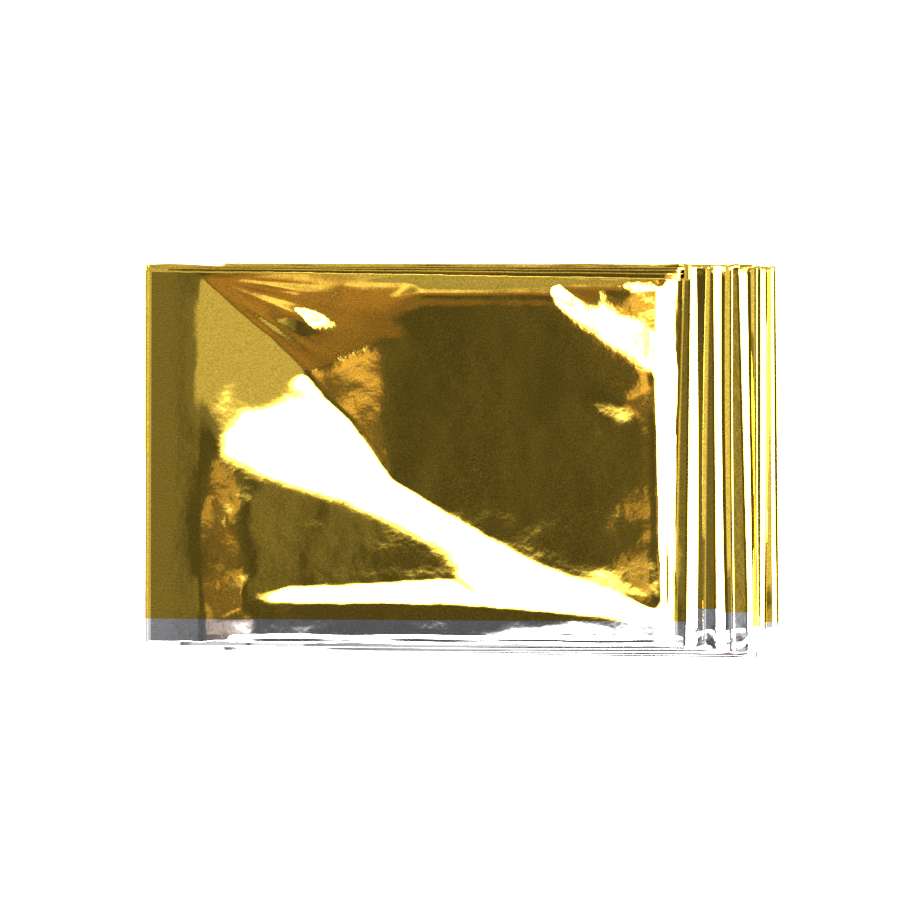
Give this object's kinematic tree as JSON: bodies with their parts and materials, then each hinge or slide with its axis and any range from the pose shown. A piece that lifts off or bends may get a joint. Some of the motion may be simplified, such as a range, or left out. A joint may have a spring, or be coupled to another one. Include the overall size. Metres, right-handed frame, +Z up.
{
  "type": "folded emergency foil blanket",
  "caption": "Emergency foil blanket of gold and silver film, pleated and folded back and forth into a flat pocket-size pack with stepped folds at one end.",
  "frame": {"origin": "on the surface it rests on, under the middle of the folded pack's box", "axes": "+X along the panels towards the stepped folds, +Y across them towards the edge of gold ply folds, +Z up"},
  "size_m": [0.1358, 0.0844, 0.0192],
  "materials": {
    "gold_film": "mirror-bright metallised film, gold lacquered on one side and bare silver on the other"
  },
  "bodies": {
    "root": {"foil_blanket": "gold_film"}
  },
  "joints": []
}
